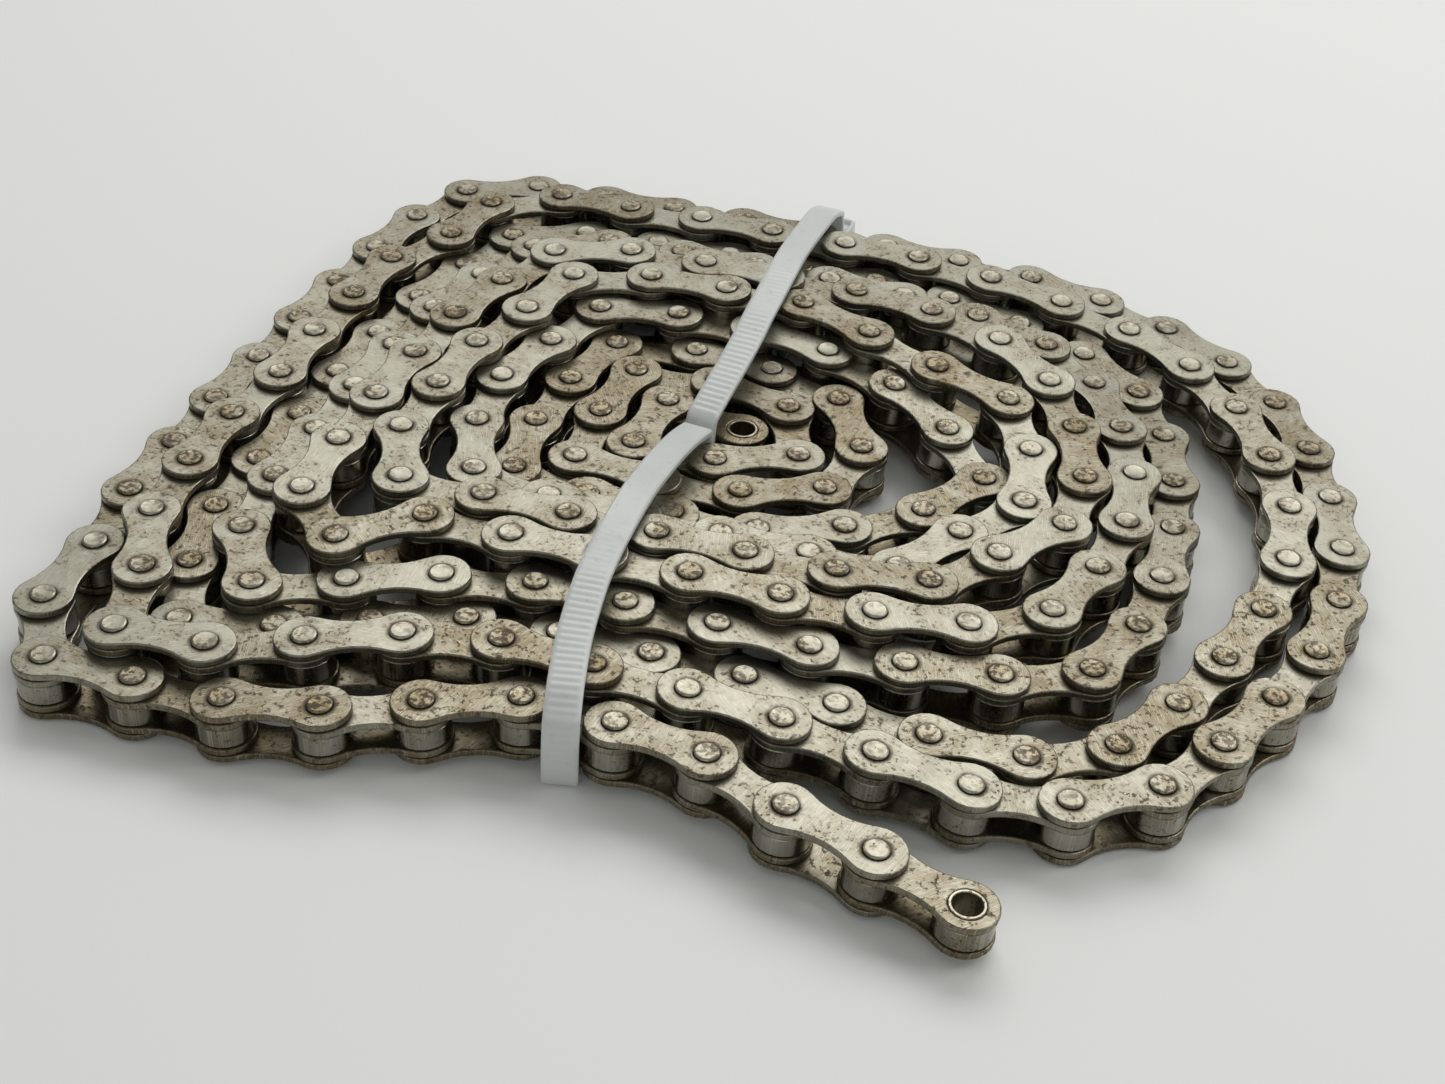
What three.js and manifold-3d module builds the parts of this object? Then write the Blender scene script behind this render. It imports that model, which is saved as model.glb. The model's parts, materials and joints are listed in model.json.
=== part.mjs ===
// A 3 m length of nickel-plated 1/2 inch roller chain, wound into a flat coil and held by two
// nylon cable ties. Millimetres, +Z up. The first five links at the tail end and the last link at
// the centre are built piece by piece; the rest of the coil is built as runs of ten links.
import * as THREE from 'three';
import { mergeVertices } from 'three/addons/utils/BufferGeometryUtils.js';
import Module from 'manifold-3d';

const wasm = await Module();
wasm.setup();

// ---- chain sizes ----
const PITCH = 12.7;            // pin centre to pin centre
const INNER_WIDTH = 3.3;       // between the inner plates
const PLATE = 1.0;             // thickness of every side plate
const LOBE_R = 4.1;            // rounded end of a plate
const WAIST_HALF = 2.7;        // half the plate's height at its narrowest
const PIN_R = 1.65;
const PIN_PLAY = 0.3;          // radial, between a pin and its bush
const BUSH_WALL = 0.45;
const ROLLER_TURN_PLAY = 0.375;   // radial, between a bush and its roller
const ROLLER_WALL = 1.1;
const PIN_PROUD = 0.4;         // riveted end standing out of the outer plate
const PLATE_PLAY = 0.15;       // side play between an inner and an outer plate
const ROLLER_PLAY = 0.1;       // side play between a roller and each inner plate
const SEAT = 0.15;             // radial allowance round a pressed-in pin or bush
const BUSH_PROUD = 0.07;       // bush end past its plate, inside the side play

// ---- cable tie sizes ----
const STRAP_WIDTH = 4.8;
const STRAP = 1.2;             // strap thickness
const HEAD = { along: 6.4, across: 7.4, high: 4.6 };
const CLEAR = 0.3;             // gap between pieces that rest on each other
const END_CLEAR = 1.7;         // from the outermost row to the upright end of a strap

// ---- the coil ----
const NEST_GAP = 0.35;         // between the plates of a raised row and its neighbour's
const SIDE_GAP = 0.3;          // least gap between the plates of neighbouring rows
const DRAPE = 60;              // distance over which the chain sinks from the ties to the ground
const RUN = 10;                // links in one run
const DETAILED = 5;            // links built piece by piece at the tail end
const DRAWN_PITCH = 12.7;      // the pitch that ROUTE is drawn for

// Places of the pins as x, y and tier. The chain turns tightly at the tail and at the centre, so
// each pin there has a point of its own.
const TAIL_END = [
  [34, -64, 0], [22, -57, 0], [10, -51, 0], [0, -42, 0], [-12, -36, 0], [-25, -33, 0],
  [-37, -37, 0], [-50, -39, 0], [-63, -38, 0], [-75, -35, 0], [-85, -31, 0], [-89, -20, 0],
  [-86, -8, 0], [-84, 3, 0], [-82, 15, 0],
];
// Between the two ends, three links lie between neighbouring points.
const ROUTE = [
  [-79, 27, 0],
  [-66, 66, 0], [-49, 101, 0], [-12, 96, 0], [24, 88, 0], [60, 78, 0], [86, 50, 0],
  [90, 10, 0], [75, -22, 0], [48, -44, 0], [9, -35, 0.5], [-29, -24, 1], [-67, -28, 1],
  [-79, -3, 1], [-70, 33, 1], [-57, 70, 1], [-32, 92, 1], [4, 86, 1], [40, 77, 1],
  [74, 58, 0.75], [84, 19, 0.5], [69, -15, 0], [42, -39, 0], [4, -27, 0], [-33, -19, 0],
  [-70, -20, 0], [-68, 13, 0], [-57, 50, 0], [-39, 85, 0], [-1, 79, 0], [33, 73, 0],
  [64, 51, 0], [65, 11, 0.5], [49, -21, 1], [13, -23, 1], [-25, -14, 1], [-62, -16, 1],
  [-60, 19, 1], [-49, 55, 1], [-23, 78, 1], [14, 71, 1], [49, 59, 1], [59, 21, 1.5],
  [44, -13, 1.75], [8, -16, 2], [-30, -7, 2], [-59, 0, 2], [-49, 37, 2], [-31, 72, 2],
  [5, 66, 2], [42, 55, 2], [51, 19, 2], [29, -8, 2], [-9, -2, 2], [-46, 7, 2],
  [-39, 43, 2], [-15, 62, 2], [21, 51, 2], [44, 25, 1.5], [24, -2, 1], [-14, 3, 1],
  [-37, 23, 1], [-22, 57, 1], [14, 47, 1], [36, 21, 0.5], [6, 5, 0], [-30, 14, 0],
  [-18, 51, 0], [18, 41, 0],
];
const LINKS_PER_POINT = 3;
const CENTRE_END = [
  [20, 28, 0], [16, 15, 0], [3, 12, 0], [-10, 14, 0], [-22, 18, 0], [-22, 31, 0], [-15, 43, 0],
  [-2, 42, 0], [10, 37, 0], [11, 24, 0], [-2, 20, 0], [-14, 22, 0], [-11, 34, 0], [1, 31, 0],
];
const TIE_HOLE = { x: -5, y: 27, r: 1.9 };   // where both ties pass down through the coil
// Plan line of each tie, from the hole to outside the coil.
const FRONT_TIE = [[-5, 26], [-9, 14], [-15, -8], [-18, -26], [-18.5, -41]];
const FRONT_HEAD_AT = 0.5;                   // along the lower strap, under the raised rows
const REAR_TIE = [[-4.5, 29], [2, 48], [9, 76], [15, 97.5]];
const REAR_HEAD_AT = 1;                      // outside the coil, on the upright

// ---- derived stack heights, from the chain's middle plane ----
const innerFace = INNER_WIDTH / 2;
const innerOut = innerFace + PLATE;
const outerFace = innerOut + PLATE_PLAY;
const outerOut = outerFace + PLATE;
const pinEnd = outerOut + PIN_PROUD;
const bushEnd = innerOut + BUSH_PROUD;
const bushBore = PIN_R + PIN_PLAY;
const bushR = bushBore + BUSH_WALL;
const rollerBore = bushR + ROLLER_TURN_PLAY;
const rollerR = rollerBore + ROLLER_WALL;
const tier = 2 * PLATE + PLATE_PLAY + NEST_GAP;   // a row raised this much interleaves its plates
const middle = STRAP + CLEAR + pinEnd;       // middle plane of tier 0 above the ground
const grow = PITCH / DRAWN_PITCH;

// ---------------------------------------------------------------- the pins' places

// A smooth curve through a, b, c and d, between b and c.
function between(a, b, c, d, t) {
  return b.map((v, i) => 0.5 * (2 * v + (c[i] - a[i]) * t + (2 * a[i] - 5 * v + 4 * c[i] - d[i]) * t * t
    + (3 * v - a[i] - 3 * c[i] + d[i]) * t ** 3));
}

function drawnPins() {
  const pins = [...TAIL_END];
  for (let k = 0; k < ROUTE.length - 1; k++) {
    const near = [k - 1, k, k + 1, k + 2].map((i) => ROUTE[Math.min(Math.max(i, 0), ROUTE.length - 1)]);
    for (let step = 0; step < LINKS_PER_POINT; step++) pins.push(between(...near, step / LINKS_PER_POINT));
  }
  pins.push(ROUTE[ROUTE.length - 1], ...CENTRE_END);
  return pins.map(([x, y, level]) => ({ x: x * grow, y: y * grow, z: level * tier }));
}

// How the drawn places are turned into a chain that fits.
const ROUNDS = 600;
const FOLLOW_ROUNDS = 380;     // the drawn places pull on the pins only this long
const FOLLOW = 0.02;           // share of the way to its drawn place a pin moves in a round
const PIN_SHARE = 0.45;        // share of an overlap between two pins that each one gives way
const LINK_SHARE = 0.3;        // the same between a pin and the middle of a link
const LENGTH_PASSES = 6;       // times in a round that every link is set back to one pitch
const NEST_BELOW = 0.3;        // rows interleave if raised a tier, less this much
const NEST_ABOVE = 0.9;        // or more by this much

// Least distance in plan between two pins, or a pin and the middle of a link, by height apart.
const nested = LOBE_R + bushR + SIDE_GAP;
const apart = 2 * LOBE_R + SIDE_GAP;
const waistApart = LOBE_R + WAIST_HALF + SIDE_GAP;
const waistNested = Math.max(nested - (LOBE_R - WAIST_HALF) / 2, waistApart - (LOBE_R - WAIST_HALF));

function leastGap(rise, beside) {
  if (rise > 2 * pinEnd) return 0;
  const fits = rise >= tier - NEST_BELOW && rise <= tier + NEST_ABOVE;
  if (beside) return fits ? waistNested : waistApart;
  return fits ? nested : apart;
}

// Moves the pins until every link is one pitch long and no two rows collide.
function settle(pins) {
  const drawn = pins.map((p) => ({ ...p }));
  const count = pins.length;
  const push = (a, b, least, share) => {
    const dx = b.x - a.x;
    const dy = b.y - a.y;
    const reach = Math.hypot(dx, dy);
    if (reach >= least) return null;
    const k = share * (least - reach) / Math.max(reach, 0.1);
    return [dx * k, dy * k];
  };
  const hole = { x: TIE_HOLE.x * grow, y: TIE_HOLE.y * grow };
  for (let round = 0; round < ROUNDS; round++) {
    const move = pins.map(() => [0, 0]);
    const shift = (i, by, sign) => {
      move[i][0] += sign * by[0];
      move[i][1] += sign * by[1];
    };
    const mids = pins.slice(1).map((p, i) => mix(pins[i], p, 0.5));
    for (let i = 0; i < count; i++) {
      for (let j = i + 3; j < count; j++) {
        if (Math.abs(pins[i].x - pins[j].x) > apart || Math.abs(pins[i].y - pins[j].y) > apart) continue;
        const by = push(pins[i], pins[j], leastGap(Math.abs(pins[i].z - pins[j].z), false), PIN_SHARE);
        if (by) {
          shift(i, by, -1);
          shift(j, by, 1);
        }
      }
      for (let j = 0; j < count - 1; j++) {
        if (Math.abs(j - i) < 3 || Math.abs(j + 1 - i) < 3) continue;
        if (Math.abs(pins[i].x - mids[j].x) > apart || Math.abs(pins[i].y - mids[j].y) > apart) continue;
        const by = push(pins[i], mids[j], leastGap(Math.abs(pins[i].z - mids[j].z), true), LINK_SHARE);
        if (by) {
          shift(i, by, -1);
          shift(j, by, 0.5);
          shift(j + 1, by, 0.5);
        }
      }
      const clear = push(hole, pins[i], TIE_HOLE.r + LOBE_R, PIN_SHARE);
      if (clear) shift(i, clear, 1);
      if (i < count - 1) {
        const waist = push(hole, mids[i], TIE_HOLE.r + WAIST_HALF, PIN_SHARE);
        if (waist) [i, i + 1].forEach((n) => shift(n, waist, 1));
      }
    }
    const follow = round < FOLLOW_ROUNDS ? FOLLOW : 0;
    pins.forEach((p, i) => {
      p.x += move[i][0] + follow * (drawn[i].x - p.x);
      p.y += move[i][1] + follow * (drawn[i].y - p.y);
    });
    for (let pass = 0; pass < LENGTH_PASSES; pass++) {
      for (const first of [0, 1]) {
        for (let i = first; i < count - 1; i += 2) {
          const a = pins[i];
          const b = pins[i + 1];
          const span = Math.hypot(b.x - a.x, b.y - a.y, b.z - a.z);
          const k = 0.5 * (span - PITCH) / span;
          const dx = (b.x - a.x) * k;
          const dy = (b.y - a.y) * k;
          a.x += dx;
          a.y += dy;
          b.x -= dx;
          b.y -= dy;
        }
      }
    }
  }
  return pins;
}

function mix(a, b, t) {
  return { x: a.x + (b.x - a.x) * t, y: a.y + (b.y - a.y) * t, z: a.z + (b.z - a.z) * t };
}

// Distance in plan from a point to a line of points.
function offLine(p, line) {
  let best = Infinity;
  for (let i = 0; i < line.length - 1; i++) {
    const [ax, ay] = line[i];
    const [bx, by] = line[i + 1];
    const len2 = (bx - ax) ** 2 + (by - ay) ** 2;
    const t = Math.min(Math.max(((p.x - ax) * (bx - ax) + (p.y - ay) * (by - ay)) / len2, 0), 1);
    best = Math.min(best, Math.hypot(p.x - ax - t * (bx - ax), p.y - ay - t * (by - ay)));
  }
  return best;
}

// A tie's plan line, its last part made long enough to clear the outermost row.
function tieLine(points, chainPins) {
  const line = points.map(([x, y]) => [x * grow, y * grow]);
  const [[ax, ay], [bx, by]] = line.slice(-2);
  const part = Math.hypot(bx - ax, by - ay);
  const [ux, uy] = [(bx - ax) / part, (by - ay) / part];
  let end = 0;
  const pass = (p, r) => {
    const beside = Math.max(Math.abs((p.y - ay) * ux - (p.x - ax) * uy) - STRAP_WIDTH / 2, 0);
    if (beside < r) end = Math.max(end, (p.x - ax) * ux + (p.y - ay) * uy + Math.sqrt(r * r - beside * beside));
  };
  chainPins.forEach((p, i) => {
    pass(p, LOBE_R);
    if (i) pass(mix(chainPins[i - 1], p, 0.5), WAIST_HALF);
  });
  line[line.length - 1] = [ax + ux * (end + END_CLEAR), ay + uy * (end + END_CLEAR)];
  return line;
}

// The chain lies on the ties' lower straps near them, and on the ground away from them.
function drape(pins) {
  for (const p of pins) {
    const far = Math.min(offLine(p, frontTie), offLine(p, rearTie));
    const t = Math.min(Math.max((far - STRAP_WIDTH) / DRAPE, 0), 1);
    p.z += middle - (STRAP + CLEAR) * t * t * (3 - 2 * t);
  }
  return pins;
}

const settled = settle(drawnPins());
const frontTie = tieLine(FRONT_TIE, settled);
const rearTie = tieLine(REAR_TIE, settled);
const pins = drape(settled).map((p) => new THREE.Vector3(p.x, p.y, p.z));

// ---------------------------------------------------------------- shapes

const nickel = (name, color, roughness) => new THREE.MeshStandardMaterial({ name, color, roughness, metalness: 1 });
const plateMetal = nickel('plate', '#b5b0a0', 0.38);
const pinMetal = nickel('pin', '#c2bcab', 0.32);
const bushMetal = nickel('bush', '#a39b88', 0.4);
const rollerMetal = nickel('roller', '#aaa596', 0.25);
const nylon = new THREE.MeshStandardMaterial({ name: 'nylon', color: '#d3d8da', roughness: 0.45, metalness: 0 });

const ARC_STEPS = 10;          // sides of a round hole, pin, bush or roller
const LOBE_STEPS = 7;
const LOBE_TURN = 0.62 * Math.PI;   // how far each round end runs from the plate's long axis

function circle(shape, x, r) {
  for (let i = 0; i < ARC_STEPS; i++) {
    const a = -i * 2 * Math.PI / ARC_STEPS;
    shape[i ? 'lineTo' : 'moveTo'](x + r * Math.cos(a), r * Math.sin(a));
  }
  shape.closePath();
}

// A figure-eight side plate, centred on its middle, with a hole for each pin or bush.
function sidePlate(holeR) {
  const half = PITCH / 2;
  const shape = new THREE.Shape();
  for (const side of [1, -1]) {
    for (let i = 0; i <= LOBE_STEPS; i++) {
      const a = LOBE_TURN * (2 * i / LOBE_STEPS - 1);
      const x = side * (half + LOBE_R * Math.cos(a));
      const y = side * LOBE_R * Math.sin(a);
      shape[side === 1 && i === 0 ? 'moveTo' : 'lineTo'](x, y);
    }
    shape.lineTo(0, side * WAIST_HALF);
  }
  shape.closePath();
  for (const x of [-half, half]) {
    const hole = new THREE.Path();
    circle(hole, x, holeR);
    shape.holes.push(hole);
  }
  return new THREE.ExtrudeGeometry(shape, { depth: PLATE, bevelEnabled: false, curveSegments: 1 });
}

// A round piece about the Z axis, from its profile of radius and height.
function turned(profile) {
  const points = profile.map(([r, z]) => new THREE.Vector2(r, z));
  return new THREE.LatheGeometry(points, ARC_STEPS).rotateX(Math.PI / 2).rotateZ(Math.PI / 2);
}

function tube(outer, bore, end) {
  return turned([[bore, -end], [outer, -end], [outer, end], [bore, end], [bore, -end]]);
}

const innerPlate = sidePlate(bushR + SEAT);
const outerPlate = sidePlate(PIN_R + SEAT);
const bush = tube(bushR, bushBore, bushEnd);
const roller = tube(rollerR, rollerBore, innerFace - ROLLER_PLAY);
const pin = turned([[0, -pinEnd], [PIN_R, -pinEnd], [PIN_R, pinEnd], [0, pinEnd]]);

const chain = new THREE.Group();

function add(parent, name, geometry, material, x = 0, z = 0) {
  const mesh = new THREE.Mesh(geometry, material);
  mesh.name = name;
  mesh.position.set(x, 0, z);
  parent.add(mesh);
}

// A group at the middle of link k, its X axis along the link.
function linkFrame(k) {
  const along = pins[k + 1].clone().sub(pins[k]).normalize();
  const side = new THREE.Vector3(0, 0, 1).cross(along).normalize();
  const group = new THREE.Group();
  group.quaternion.setFromRotationMatrix(new THREE.Matrix4().makeBasis(along, side, along.clone().cross(side)));
  group.position.copy(pins[k]).add(pins[k + 1]).multiplyScalar(0.5);
  chain.add(group);
  return group;
}

function innerLink(k, name) {
  const group = linkFrame(k);
  add(group, `${name}_inner_plate_top`, innerPlate, plateMetal, 0, innerFace);
  add(group, `${name}_inner_plate_bottom`, innerPlate, plateMetal, 0, -innerOut);
  for (const [end, x] of [['a', -PITCH / 2], ['b', PITCH / 2]]) {
    add(group, `${name}_bush_${end}`, bush, bushMetal, x);
    add(group, `${name}_roller_${end}`, roller, rollerMetal, x);
  }
}

function outerLink(k, name) {
  const group = linkFrame(k);
  add(group, `${name}_outer_plate_top`, outerPlate, plateMetal, 0, outerFace);
  add(group, `${name}_outer_plate_bottom`, outerPlate, plateMetal, 0, -outerOut);
  add(group, `${name}_pin_a`, pin, pinMetal, -PITCH / 2);
  add(group, `${name}_pin_b`, pin, pinMetal, PITCH / 2);
}

// ---------------------------------------------------------------- solids that need joining

function solid(geometry) {
  const bare = geometry.clone();
  bare.deleteAttribute('normal');
  bare.deleteAttribute('uv');
  const merged = mergeVertices(bare, 1e-4);
  return new wasm.Manifold(new wasm.Mesh({
    numProp: 3,
    vertProperties: new Float32Array(merged.attributes.position.array),
    triVerts: new Uint32Array(merged.index.array),
  }));
}

function toGeometry(manifold) {
  const mesh = manifold.getMesh();
  const geometry = new THREE.BufferGeometry();
  geometry.setAttribute('position', new THREE.BufferAttribute(mesh.vertProperties, 3));
  geometry.setIndex(new THREE.BufferAttribute(mesh.triVerts, 1));
  return geometry;
}

const joined = (solids) => toGeometry(solids.reduce((all, next) => all.add(next)));

// ---------------------------------------------------------------- runs of the coil

const ROW_TRIM = 0.15;         // a run's outline lies this far inside the real plates'
const CORE_STEP = 5;           // every fifth pin of a run holds its upper and lower plates together
const CORE_SIDES = 4;
const CORE_BITE = 0.3;         // how far the core runs into the plates

const unit = (a, b) => b.clone().sub(a).setZ(0).normalize();
const offset = (p, dir, by) => p.clone().addScaledVector(dir, by);
const leftOf = (dir) => new THREE.Vector3(-dir.y, dir.x, 0);

const LEAN = Math.PI / 6;      // a run's round ends are cut at this angle each side of square

// The two sides of a row of plates from the middle of link `from` to the middle of link `to`.
// Each point carries the height of the chain there in z.
function rowSides(from, to, trim) {
  return [1, -1].map((hand) => {
    const line = [];
    for (let k = from; k <= to; k++) {
      const along = unit(pins[k], pins[k + 1]);
      const mid = pins[k].clone().lerp(pins[k + 1], 0.5);
      const inward = k === from ? trim : (k === to ? -trim : 0);
      line.push(offset(offset(mid, along, inward), leftOf(along), hand * (WAIST_HALF - ROW_TRIM)));
      if (k === to) break;
      const after = unit(pins[k + 1], pins[k + 2]);
      const through = along.clone().add(after).normalize();
      for (const lean of [-LEAN, LEAN]) {
        const out = offset(leftOf(through).multiplyScalar(hand * Math.cos(lean)), through, Math.sin(lean));
        line.push(offset(pins[k + 1], out, LOBE_R - ROW_TRIM));
      }
    }
    return line;
  });
}

// A slab between two sides of as many points, from `low` to `high` above their own heights.
function slab([left, right], low, high) {
  const places = [];
  const faces = [];
  const quad = (a, b, c, d) => faces.push(a, b, c, a, c, d);
  left.forEach((p, i) => {
    for (const [side, rise] of [[p, low], [right[i], low], [right[i], high], [p, high]]) {
      places.push(side.x, side.y, side.z + rise);
    }
  });
  const CORNERS = 4;
  for (let i = 0; i < left.length - 1; i++) {
    for (let c = 0; c < CORNERS; c++) {
      const d = (c + 1) % CORNERS;
      quad(i * CORNERS + c, (i + 1) * CORNERS + c, (i + 1) * CORNERS + d, i * CORNERS + d);
    }
  }
  const last = (left.length - 1) * CORNERS;
  quad(0, 1, 2, 3);
  quad(last + 3, last + 2, last + 1, last);
  const geometry = new THREE.BufferGeometry();
  geometry.setAttribute('position', new THREE.Float32BufferAttribute(places, 3));
  geometry.setIndex(faces);
  return solid(geometry);
}

function post(p, r, reach, sides) {
  const geometry = new THREE.CylinderGeometry(r, r, 2 * reach, sides);
  return solid(geometry.rotateX(Math.PI / 2).translate(p.x, p.y, p.z));
}

// Half an outer link and its pin, where a run meets a link that is built piece by piece.
function halfOuterLink(pinIndex, linkIndex) {
  const away = pinIndex === linkIndex ? 1 : -1;
  const along = unit(pins[linkIndex], pins[linkIndex + 1]).multiplyScalar(away);
  const mid = pins[linkIndex].clone().lerp(pins[linkIndex + 1], 0.5);
  const at = pins[pinIndex];
  const sides = [-1, 1].map((hand) => {
    const line = [offset(offset(mid, along, PLATE), leftOf(along), -hand * WAIST_HALF)];
    for (let i = 0; i < LOBE_STEPS / 2; i++) {
      const a = Math.PI + hand * LOBE_TURN * (1 - 2 * i / LOBE_STEPS);
      const out = offset(along.clone().multiplyScalar(Math.cos(a)), leftOf(along), Math.sin(a));
      line.push(offset(at, out, LOBE_R));
    }
    return line.reverse();
  });
  const plates = [slab(sides, outerFace, outerOut), slab(sides, -outerOut, -outerFace)];
  return [...plates, post(at, PIN_R, pinEnd, ARC_STEPS)];
}

function run(from, to, name) {
  const first = from === DETAILED;
  const last = to === pins.length - 3;
  const sides = rowSides(from, to, CLEAR / 2);
  const solids = [slab(sides, innerFace, outerOut), slab(sides, -outerOut, -innerFace)];
  for (let k = from + 1; k <= to; k += CORE_STEP) {
    solids.push(post(pins[k], bushR, innerFace + CORE_BITE, CORE_SIDES));
  }
  if (first) solids.push(...halfOuterLink(from, from));
  if (last) solids.push(...halfOuterLink(to + 1, to));
  add(chain, name, joined(solids), plateMetal);
}

// ---------------------------------------------------------------- cable ties

function alongLine(line, t) {
  const curve = new THREE.CatmullRomCurve3(line.map(([x, y]) => new THREE.Vector3(x, y, 0)));
  return { at: curve.getPointAt(t), heading: curve.getTangentAt(t) };
}

// Height of the upper strap along its plan line: a taut line over the rows under it.
function tautTop(line) {
  const SAMPLES = 60;
  const half = STRAP_WIDTH + LOBE_R;
  const tops = [];
  for (let i = 0; i <= SAMPLES; i++) {
    const { at } = alongLine(line, i / SAMPLES);
    let top = 0;
    for (let k = 0; k < pins.length - 1; k++) {
      for (const t of [0, 0.5]) {
        const p = pins[k].clone().lerp(pins[k + 1], t);
        if (Math.hypot(p.x - at.x, p.y - at.y) < half) top = Math.max(top, p.z + pinEnd + CLEAR);
      }
    }
    tops.push([i / SAMPLES, top]);
  }
  const hull = [];
  for (const p of tops) {
    while (hull.length > 1) {
      const [a, b] = hull.slice(-2);
      if ((b[0] - a[0]) * (p[1] - a[1]) - (b[1] - a[1]) * (p[0] - a[0]) < 0) break;
      hull.pop();
    }
    hull.push(p);
  }
  return (t) => {
    const i = Math.max(1, hull.findIndex((p) => p[0] >= t));
    const [a, b] = [hull[i - 1], hull[i]];
    return a[1] + (b[1] - a[1]) * (t - a[0]) / (b[0] - a[0]);
  };
}

// One moulded tie: the strap round the coil's rows, and the head that its ends meet in.
function cableTie(name, line, headAt) {
  const top = tautTop(line);
  const STEPS = 14;
  const stops = [];
  for (let i = 0; i <= STEPS; i++) stops.push({ t: i / STEPS, z: top(i / STEPS), up: 1 });
  for (let i = STEPS; i >= 0; i--) stops.push({ t: i / STEPS, z: STRAP, up: -1 });
  const strap = new THREE.BoxGeometry(stops.length - 1, STRAP_WIDTH, STRAP, stops.length - 1, 1, 1);
  const place = strap.attributes.position;
  for (let i = 0; i < place.count; i++) {
    const stop = stops[Math.round(place.getX(i) + (stops.length - 1) / 2)];
    const { at, heading } = alongLine(line, stop.t);
    const outside = place.getZ(i) > 0 ? STRAP : 0;
    const past = stop.t === 0 ? -1 : (stop.t === 1 ? 1 : 0);
    const p = at.clone().addScaledVector(leftOf(heading), place.getY(i));
    p.addScaledVector(heading, past * outside);
    place.setXYZ(i, p.x, p.y, stop.z + stop.up * outside);
  }
  // A block whose inner face is on the plan line at t, `thick` deep along the line.
  const block = (t, thick, wide, high, z) => {
    const { at, heading } = alongLine(line, t);
    const middleAt = t === 0 ? -thick / 2 : (t === 1 ? thick / 2 : 0);
    return solid(new THREE.BoxGeometry(thick, wide, high).translate(middleAt, 0, z)
      .rotateZ(Math.atan2(heading.y, heading.x)).translate(at.x, at.y, 0));
  };
  const tall = top(0) + STRAP;
  const upright = block(0, STRAP, STRAP_WIDTH, tall, tall / 2);
  const head = headAt === 1
    ? block(1, HEAD.high, HEAD.across, HEAD.along, (top(1) + STRAP) / 2)
    : block(headAt, HEAD.along, HEAD.across, HEAD.high, HEAD.high / 2);
  add(chain, name, joined([solid(strap), upright, head]), nylon);
}

// ---------------------------------------------------------------- the object

for (let k = 0; k < DETAILED; k++) {
  const name = `tail_link_${k + 1}`;
  if (k % 2) outerLink(k, name);
  else innerLink(k, name);
}
innerLink(pins.length - 2, 'centre_end');
const lastRunEnd = pins.length - 3;
let runNumber = 0;
for (let from = DETAILED; from < lastRunEnd; from += RUN) {
  const to = lastRunEnd - from < 1.5 * RUN ? lastRunEnd : from + RUN;
  runNumber += 1;
  run(from, to, `coil_run_${String(runNumber).padStart(2, '0')}`);
  if (to === lastRunEnd) break;
}
cableTie('front_cable_tie', frontTie, FRONT_HEAD_AT);
cableTie('rear_cable_tie', rearTie, REAR_HEAD_AT);

// Stand the coil on the ground with the origin under the middle of its box.
const box = new THREE.Box3().setFromObject(chain);
chain.position.set(-(box.min.x + box.max.x) / 2, -(box.min.y + box.max.y) / 2, -box.min.z);
const coil = new THREE.Group();
coil.add(chain);

export default coil;
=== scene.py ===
"""Looks of a coiled and tied half-inch roller chain, built around its CAD frame."""
import json
import math
import random

import bmesh
import bpy
import numpy as np
from mathutils import Matrix, Vector

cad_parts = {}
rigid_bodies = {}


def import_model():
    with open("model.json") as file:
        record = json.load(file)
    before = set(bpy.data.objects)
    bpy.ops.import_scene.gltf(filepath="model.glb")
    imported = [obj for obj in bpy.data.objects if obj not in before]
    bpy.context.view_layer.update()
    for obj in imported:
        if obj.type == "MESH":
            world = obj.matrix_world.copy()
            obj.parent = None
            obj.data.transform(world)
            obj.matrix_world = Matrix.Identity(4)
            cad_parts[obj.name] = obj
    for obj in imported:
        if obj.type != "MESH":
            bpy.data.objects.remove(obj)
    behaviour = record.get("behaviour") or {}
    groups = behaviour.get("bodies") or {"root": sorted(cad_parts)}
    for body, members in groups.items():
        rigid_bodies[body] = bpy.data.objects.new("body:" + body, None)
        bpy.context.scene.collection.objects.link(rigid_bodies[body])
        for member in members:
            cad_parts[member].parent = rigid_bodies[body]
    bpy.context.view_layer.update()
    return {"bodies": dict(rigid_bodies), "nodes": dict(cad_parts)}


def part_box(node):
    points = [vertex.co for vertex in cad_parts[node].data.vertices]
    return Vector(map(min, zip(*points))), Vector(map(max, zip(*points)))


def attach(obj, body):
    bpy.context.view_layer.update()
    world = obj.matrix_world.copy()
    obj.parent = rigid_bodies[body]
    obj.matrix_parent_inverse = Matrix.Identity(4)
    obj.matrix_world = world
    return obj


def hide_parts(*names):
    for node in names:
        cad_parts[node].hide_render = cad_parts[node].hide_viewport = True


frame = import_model()

MM = 0.001

# ---- chain sizes in millimetres, as in the CAD frame ----
PITCH = 12.7
INNER_WIDTH = 3.3
PLATE = 1.0
LOBE_R = 4.1
WAIST_HALF = 2.7
PIN_R = 1.65
PIN_PLAY = 0.3            # radial, between a pin and its bush
BUSH_WALL = 0.45
ROLLER_TURN_PLAY = 0.375  # radial, between a bush and its roller
ROLLER_WALL = 1.1
PIN_PROUD = 0.4
PLATE_PLAY = 0.15
ROLLER_PLAY = 0.1
SEAT = 0.05               # the fine seam round a pressed-in pin or bush
BUSH_PROUD = 0.07
STRAP_WIDTH = 4.8
STRAP = 1.2
CLEAR = 0.3
END_CLEAR = 1.7           # from the outermost row to the upright end of a strap
NEST_GAP = 0.35           # between the plates of a raised row and its neighbour's
SIDE_GAP = 0.3            # least gap between the plates of neighbouring rows
DRAPE = 60                # distance over which the chain sinks from the ties to the ground

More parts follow.
